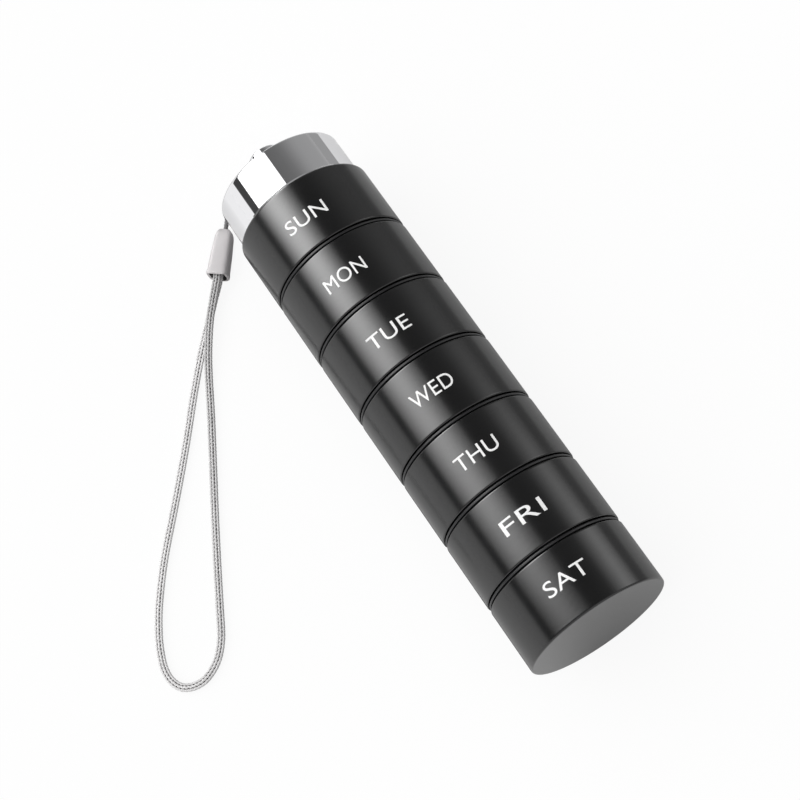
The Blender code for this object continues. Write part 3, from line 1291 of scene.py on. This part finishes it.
def smooth_route(route: Sequence[Sequence[float]], step: float) -> list[Vector]:
    """Read points from the smooth curve through a route.

    Args:
        route: the route's own points, in millimetres.
        step: about how far apart the new points are.

    Returns:
        The new points.
    """
    points = [Vector(p) for p in route]
    points = [2 * points[0] - points[1], *points, 2 * points[-1] - points[-2]]
    fine = []
    for a, b, c, d in zip(points, points[1:], points[2:], points[3:]):
        count = max(1, round((c - b).length / step))
        for i in range(count):
            t = i / count
            line = 2 * b + (c - a) * t
            bend = (2 * a - 5 * b + 4 * c - d) * t**2
            twist = (3 * b - a - 3 * c + d) * t**3
            fine.append((line + bend + twist) / 2)
    return [*fine, points[-2]]


# The cords' centrelines, in millimetres, whose ends lie inside the clasp
STRING_ROUTE = (
    (-57.9, -16.17, 2.4), (-60.2, -14.1, 3.1), (-60.4, -12.8, 5.4), (-59.9, -10.0, 9.6),
    (-59.1, -6.9, 13.2), (-58.5, -3.9, 14.9), (-58.5, 0.0, 15.0), (-58.5, 3.5, 15.0),
    (-58.5, 5.0, 14.1), (-58.5, 4.8, 12.2), (-58.5, 3.2, 11.0), (-58.6, 0.6, 10.4),
    (-58.9, -3.2, 9.7), (-59.5, -7.6, 7.8), (-60.3, -11.6, 4.4), (-60.4, -13.6, 2.2),
    (-57.9, -16.17, 1.6),
)
STRAP_ROUTE = (
    (-51.6, -21.56, 3.2), (-49.6, -23.1, 3.2), (-46.9, -25.7, 2.8), (-43.1, -29.0, 2.6),
    (-38.4, -32.5, 2.0), (-33.8, -35.6, 1.0), (-25.6, -40.1, 0.8), (-16.0, -45.5, 0.8),
    (-7.5, -50.3, 0.8), (1.2, -55.1, 0.8), (9.9, -59.8, 0.8), (14.0, -62.0, 0.8),
    (16.4, -63.6, 0.8), (18.5, -65.6, 0.8), (19.9, -67.9, 0.8), (20.6, -70.4, 0.8),
    (20.2, -72.9, 0.8), (18.9, -74.8, 0.8), (16.6, -75.8, 0.8), (14.0, -75.8, 0.8),
    (11.2, -75.0, 0.8), (7.4, -73.3, 0.8), (2.0, -70.0, 0.8), (-5.6, -64.1, 0.8),
    (-14.2, -56.2, 0.8), (-23.0, -48.3, 0.8), (-32.6, -40.1, 0.8), (-39.4, -33.95, 0.8),
    (-43.6, -29.7, 0.8), (-47.4, -25.9, 0.85), (-49.7, -23.25, 1.3), (-51.6, -21.56, 1.5),
)


@dataclass
class Strap:
    """The wrist strap: a thin string through the knob, a moulded clasp and a braided loop."""

    top: Vector = field(default_factory=lambda: Vector((-58.56, -15.61, 2.03)))
    mouth: Vector = field(default_factory=lambda: Vector((-50.5, -22.5, 2.35)))
    sides: int = 64
    squareness: float = 0.45
    # rings from this one on line the mouth and take the near-black core finish as painted shade
    dark_ring: int = 13
    wave: float = 0.1
    wave_reach: float = 1.5
    string: Cordage = Cordage(Lay.TWISTED, 3, 0.62, 0.62, 0.17, 1.8, 0.12)
    braid: Cordage = Cordage(Lay.CHAINED, 6, 1.85, 1.1, 0.25, 0.82, 0.125, 0.1, 0.62)

    def clasp(self) -> bpy.types.Object:
        """Loft the clasp, open at the mouth and dimpled where the string goes in, with painted shade inside
        the mouth.

        Returns:
            The clasp.
        """
        shape = bmesh.new()
        loops = [self.ring(shape, *ring) for ring in self.outline()]
        for place, (lower, upper) in enumerate(zip(loops, loops[1:])):
            for i in range(self.sides):
                j = (i + 1) % self.sides
                face = [lower[i % len(lower)], lower[j % len(lower)]]
                face += [upper[j % len(upper)], upper[i % len(upper)]]
                made = shape.faces.new(list(dict.fromkeys(face)))
                # faces inside the mouth get the second finish: painted shade
                made.material_index = int(place >= self.dark_ring)
        mesh = bpy.data.meshes.new("strap_clasp")
        for finish in (CLASP_GREY, PAINTED_SHADE_CORE):
            mesh.materials.append(finish.material())
        shape.to_mesh(mesh)
        shape.free()
        along = (self.top - self.mouth).normalized()
        across = Vector((0, 0, 1)).cross(along).normalized()
        turn = Matrix((across, along.cross(across), along)).transposed().to_4x4()
        mesh.transform(Matrix.Translation(self.mouth * MM) @ turn)
        Maker.outward(mesh)
        return Maker.placed("strap_clasp", mesh, CLASP_GREY, "root", ["strap_ferrule"])

    def outline(self) -> tuple[tuple[float, float, float], ...]:
        """List the clasp's rings from the string's dimple, down the outside and into the mouth.

        Returns:
            Each ring's height, half width and half thickness.
        """
        length = (self.top - self.mouth).length
        return (
            (length - 1.2, 0.0, 0.0), (length - 1.2, 0.7, 0.85), (length - 0.25, 0.85, 1.05),
            (length, 0.95, 1.15), (length - 0.08, 1.16, 1.3), (length - 0.4, 1.44, 1.5),
            (length - 0.9, 1.66, 1.66), (length - 1.6, 1.82, 1.78), (length * 0.5, 2.06, 1.97),
            (1.2, 2.22, 2.1), (0.5, 2.3, 2.2), (0.12, 2.28, 2.18), (0.0, 2.16, 2.08),
            (0.08, 1.7, 1.85), (0.4, 1.5, 1.8), (2.0, 1.4, 1.75), (2.0, 0.0, 0.0),
        )

    def ring(self, shape: bmesh.types.BMesh, height: float, wide: float, thick: float) -> list[Any]:
        """Add one ring of the clasp.

        Args:
            shape: the mesh.
            height: the ring's place along the clasp.
            wide: half its width, or 0 for a single point.
            thick: half its thickness.

        Returns:
            Its points.
        """
        if not wide:
            return [shape.verts.new((0, 0, height * MM))]
        points = []
        for i in range(self.sides):
            angle = 2 * math.pi * i / self.sides
            cos, sin = math.cos(angle), math.sin(angle)
            x = math.copysign(abs(cos) ** self.squareness, cos) * wide
            y = math.copysign(abs(sin) ** self.squareness, sin) * thick
            wave = self.wave * math.cos(2 * angle) * max(0.0, 1.0 - height / self.wave_reach)
            points.append(shape.verts.new((x * MM, y * MM, (height + wave) * MM)))
        return points

    def cord(
        self,
        name: str,
        route: Sequence[Vector],
        cordage: Cordage,
        finish: Finish,
        node: str,
    ) -> None:
        """Args:
            name: the piece's name.
            route: its centreline, in millimetres.
            cordage: the sizes of its strands.
            finish: its material.
            node: the CAD node that it stands for.
        """
        level = cordage.lay is Lay.CHAINED
        mesh = Maker.outward(Ropewalk().lay(name, route, cordage, finish, level), 80)
        piece = Maker.placed(name, mesh, finish, "root", [node])

    def build(self) -> None:
        """Make the clasp, then lay the string and the loop."""
        clasp = self.clasp()
        thin = smooth_route(STRING_ROUTE, 0.3)
        self.cord("strap_thin_string", thin, self.string, STRING_GREY, "strap_string")
        wide = smooth_route(STRAP_ROUTE, 0.5)
        self.cord("strap_braided_loop", wide, self.braid, YARN, "strap_tape")


@dataclass
class Studio:
    """A plain studio: a pale floor, a soft box over the cap's side and a camera."""

    lens: float = 93.39
    place: tuple[float, float, float] = (0.1491, -0.00593, 0.39570)
    # Lights round the tube: degrees from straight up, and leans along it from -1 to 1
    mirror_range: tuple[float, float] = (-0.5, -0.2)
    box_low: float = -60.0
    box_high: float = 3.5
    box_middle: float = -30.0
    box_half: float = 33.0
    box_peak: float = 4.7
    box_edge: float = 1.3
    box_ends: tuple[float, float] = (-0.23, -0.27)
    box_along: tuple[tuple[float, float], ...] = (
        (0.1, 0.8), (0.26, 0.75), (0.36, 0.3), (0.47, 0.08), (0.59, 0.62), (0.71, 0.36), (0.83, 0.15),
    )
    second_angle: float = 72.0
    second_half: float = 26.0
    second_peak: float = 2.3
    second_ends: tuple[float, float] = (-0.1, 0.1)
    second_along: tuple[tuple[float, float], ...] = (
        (0.17, 0.0), (0.36, 0.03), (0.47, 0.05), (0.59, 0.2), (0.71, 0.65), (0.83, 1.0),
    )
    room_greys: tuple[tuple[float, float], ...] = (
        (-180.0, 0.93), (-74.5, 0.93), (-73.5, 0.055), (3.4, 0.055), (3.6, 0.13), (11.0, 0.14),
        (21.0, 0.15), (31.0, 0.175), (41.0, 0.225), (51.0, 0.28), (61.0, 0.31), (84.0, 0.33),
        (92.0, 0.40), (112.0, 0.40), (113.0, 0.8), (180.0, 0.8),
    )
    front_fill: float = 0.78
    front_range: tuple[float, float] = (0.0, 0.5)
    key_way: tuple[float, float, float] = (-0.30, -0.60, 0.74)
    key_peak: float = 1.7
    key_base: float = 0.35
    white_share: float = 0.9
    floor_pale: float = 0.93
    # painted shade: the floor near the object, as reflections see it
    floor_reflected: float = 0.71
    floor_beyond: float = 0.33
    # painted shadow: the strip of floor under the object, as reflections see it
    floor_under: float = 0.08
    floor_dim: float = 0.5
    # where the painted shade near the object fades into the pale floor
    floor_aside: tuple[float, float] = (-0.02, -0.08)
    floor_shadow: tuple[float, float] = (-0.0195, 0.0)
    floor_far_y: float = 0.068
    floor_front_x: float = 0.058
    floor_size: float = 1.5
    floor_drop: float = 0.0001

    def camera(self) -> None:
        """Set the camera at the photograph's place."""
        right = Vector((0.535906, 0.818144, -0.208437))
        up = Vector((-0.762500, 0.575014, 0.296569))
        forward = Vector((-0.362490, 0.0, -0.931988))
        data = bpy.data.cameras.new("camera")
        data.lens = self.lens
        data.sensor_width = 36.0
        data.clip_start = 0.01
        obj = bpy.data.objects.new("camera", data)
        bpy.context.scene.collection.objects.link(obj)
        turn = Matrix((right, up, -forward)).transposed().to_4x4()
        obj.matrix_world = Matrix.Translation(self.place) @ turn
        bpy.context.scene.camera = obj

    def softbox(self, sketch: Sketch, degrees: Any, along: Any) -> Any:
        """Paint the long soft box over the cap's side, brightest in its middle.

        Args:
            sketch: the world's tree.
            degrees: the direction's angle round the tube.
            along: how far the direction leans along the tube.

        Returns:
            The box's light.
        """
        off = sketch.math("DIVIDE", sketch.math("SUBTRACT", degrees, self.box_middle), self.box_half)
        bell = sketch.math("SUBTRACT", 1.0, sketch.math("MULTIPLY", off, off))
        round_peak = sketch.math("POWER", sketch.math("MAXIMUM", 0.0, bell), 2.0)
        inside = sketch.math(
            "MULTIPLY",
            sketch.math("GREATER_THAN", degrees, self.box_low),
            sketch.math("LESS_THAN", degrees, self.box_high),
        )
        halved = sketch.ramp(self.share(sketch, along), self.box_along)
        bright = sketch.math("MULTIPLY", 2.0, halved)
        peak = sketch.math("MULTIPLY", sketch.math("MULTIPLY", round_peak, bright), self.box_peak)
        box = sketch.math("ADD", peak, self.box_edge)
        return sketch.math(
            "MULTIPLY", box, sketch.math("MULTIPLY", inside, sketch.ease(along, *self.box_ends))
        )

    def second_light(self, sketch: Sketch, degrees: Any, along: Any) -> Any:
        """Paint the weaker light on the far side, which fades towards the cap.

        Args:
            sketch: the world's tree.
            degrees: the direction's angle round the tube.
            along: how far the direction leans along the tube.

        Returns:
            The second light.
        """
        off = sketch.math("DIVIDE", sketch.math("SUBTRACT", degrees, self.second_angle), self.second_half)
        near = sketch.math("MAXIMUM", sketch.math("SUBTRACT", 1.0, sketch.math("ABSOLUTE", off)), 0.0)
        faded = sketch.math(
            "MULTIPLY",
            sketch.ramp(self.share(sketch, along), self.second_along),
            sketch.ease(along, *self.second_ends, 1.0, 0.0),
        )
        return sketch.math("MULTIPLY", faded, sketch.math("MULTIPLY", near, self.second_peak))

    def share(self, sketch: Sketch, along: Any) -> Any:
        """Place the leans at which the tube mirrors its lights on 0 to 1."""
        low, high = self.mirror_range
        return sketch.math("DIVIDE", sketch.math("ADD", along, -low), high - low)

    def soft_key(self, sketch: Sketch, direction: Any) -> Any:
        """Paint the soft light that matt surfaces get.

        Args:
            sketch: the world's tree.
            direction: the direction's vector.

        Returns:
            The soft light.
        """
        key = sketch.add(
            "ShaderNodeVectorMath", {0: direction, 1: self.key_way}, operation="DOT_PRODUCT"
        ).outputs["Value"]
        lobe = sketch.math("POWER", sketch.math("MAXIMUM", key, 0.0), 2.0)
        return sketch.math("ADD", sketch.math("MULTIPLY", lobe, self.key_peak), self.key_base)

    def sky(self) -> None:
        """Paint the studio round the object by direction, and white for the camera."""
        world = bpy.data.worlds.new("studio")
        bpy.context.scene.world = world
        world.use_nodes = True
        sketch = Sketch(world.node_tree)
        direction = sketch.out("ShaderNodeTexCoord", "Generated")
        way = sketch.add("ShaderNodeSeparateXYZ", {0: direction}).outputs
        degrees = sketch.math("MULTIPLY", sketch.math("ARCTAN2", way[1], way[2]), 180 / math.pi)
        circle = sketch.math("DIVIDE", sketch.math("ADD", degrees, 180.0), 360.0)
        room = sketch.ramp(circle, [((a + 180.0) / 360.0, g) for a, g in self.room_greys])
        fill = sketch.ease(way[0], *self.front_range, 0.0, self.front_fill)
        lights = sketch.math(
            "ADD",
            self.softbox(sketch, degrees, way[0]),
            self.second_light(sketch, degrees, way[0]),
        )
        mirrored = sketch.math("ADD", sketch.math("MAXIMUM", room, fill), lights)
        path = sketch.add("ShaderNodeLightPath").outputs
        light = self.chosen(sketch, path["Is Glossy Ray"], self.soft_key(sketch, direction), mirrored)
        seen = self.chosen(sketch, path["Is Camera Ray"], light, 1.0)
        background = world.node_tree.nodes["Background"]
        world.node_tree.links.new(seen, background.inputs["Strength"])
        background.inputs["Color"].default_value = (1.0, 1.0, 1.0, 1.0)

    @staticmethod
    def chosen(sketch: Sketch, choice: Any, otherwise: Any, wanted: Any) -> Any:
        """Choose between two lights.

        Args:
            sketch: the world's tree.
            choice: 1 for the wanted light, 0 for the other.
            otherwise: the other light.
            wanted: the wanted light.

        Returns:
            The chosen light.
        """
        inputs = {"Factor": choice, "A": otherwise, "B": wanted}
        return sketch.out("ShaderNodeMix", "Result", inputs, data_type="FLOAT")

    def floor(self) -> None:
        """Lay a pale floor that the camera sees almost white, with the object's shadow on it."""
        size = self.floor_size
        mesh = bpy.data.meshes.new("floor")
        corners = [(-size, -size, 0), (size, -size, 0), (size, size, 0), (-size, size, 0)]
        drop = Vector((0, 0, self.floor_drop))
        mesh.from_pydata([Vector(c) - drop for c in corners], [], [(0, 1, 2, 3)])
        obj = bpy.data.objects.new("floor", mesh)
        bpy.context.scene.collection.objects.link(obj)
        material = bpy.data.materials.new("pale_floor")
        material.use_nodes = True
        tree = material.node_tree
        tree.nodes.clear()
        sketch = Sketch(tree)
        place = sketch.add(
            "ShaderNodeSeparateXYZ", {0: sketch.out("ShaderNodeTexCoord", "Object")}
        ).outputs
        path = sketch.add("ShaderNodeLightPath").outputs
        beyond = sketch.math("GREATER_THAN", place[1], self.floor_far_y)
        front = sketch.math("GREATER_THAN", place[0], self.floor_front_x)
        painted_shadow_mask = sketch.math(
            "MULTIPLY",
            sketch.math("GREATER_THAN", place[1], self.floor_shadow[0]),
            sketch.math("LESS_THAN", place[1], self.floor_shadow[1]),
        )
        # reflections see painted shade near the object and a painted shadow in a strip under it
        greys = (
            self.floor_pale, self.floor_reflected, self.floor_beyond, self.floor_dim, self.floor_under
        )
        pale, near, far, dim, painted_shadow = (
            sketch.out("ShaderNodeBsdfDiffuse", inputs={"Color": (grey, grey, grey, 1.0)})
            for grey in greys
        )
        shade_fade = sketch.ease(place[1], *self.floor_aside, smooth=False)
        near = sketch.out("ShaderNodeMixShader", inputs={0: shade_fade, 1: near, 2: pale})
        near = sketch.out("ShaderNodeMixShader", inputs={0: painted_shadow_mask, 1: near, 2: painted_shadow})
        near = sketch.out("ShaderNodeMixShader", inputs={0: front, 1: near, 2: pale})
        mirrored = sketch.out("ShaderNodeMixShader", inputs={0: beyond, 1: near, 2: far})
        lit = sketch.out("ShaderNodeMixShader", inputs={0: path["Is Diffuse Ray"], 1: pale, 2: dim})
        lit = sketch.out("ShaderNodeMixShader", inputs={0: path["Is Glossy Ray"], 1: lit, 2: mirrored})
        white = sketch.out("ShaderNodeEmission", inputs={"Color": (1, 1, 1, 1), "Strength": 1.0})
        seen = sketch.math("MULTIPLY", path["Is Camera Ray"], self.white_share)
        shown = sketch.out("ShaderNodeMixShader", inputs={0: seen, 1: lit, 2: white})
        sketch.add("ShaderNodeOutputMaterial", {0: shown})
        mesh.materials.append(material)

    def build(self) -> None:
        """Set up the camera, the light and the floor."""
        bpy.context.scene.view_settings.view_transform = "Standard"
        self.camera()
        self.sky()
        self.floor()


def letterings() -> list[Lettering]:
    """The words on the tube, each where its day is printed.

    Returns:
        One lettering for each day.
    """
    words = {
        Day.SUN: (8.25, -1.7), Day.MON: (8.1, -2.9), Day.TUE: (8.2, -1.1), Day.WED: (7.8, 0.1),
        Day.THU: (8.1, -0.1), Day.FRI: (8.05, 0.8), Day.SAT: (7.1, 0.4),
    }
    return [Lettering(day, centre_s=s, angle=angle) for day, (s, angle) in words.items()]


def main() -> None:
    """Build the studio and every piece."""
    logging.basicConfig(level=logging.INFO, format="%(name)s %(message)s")
    Studio().build()
    Strap().build()
    lathe = Lathe()
    for day in Day:
        Compartment(day, lathe).build()
    CapAssembly(lathe).build()
    for word in letterings():
        word.build()


if __name__ == "__main__":
    main()
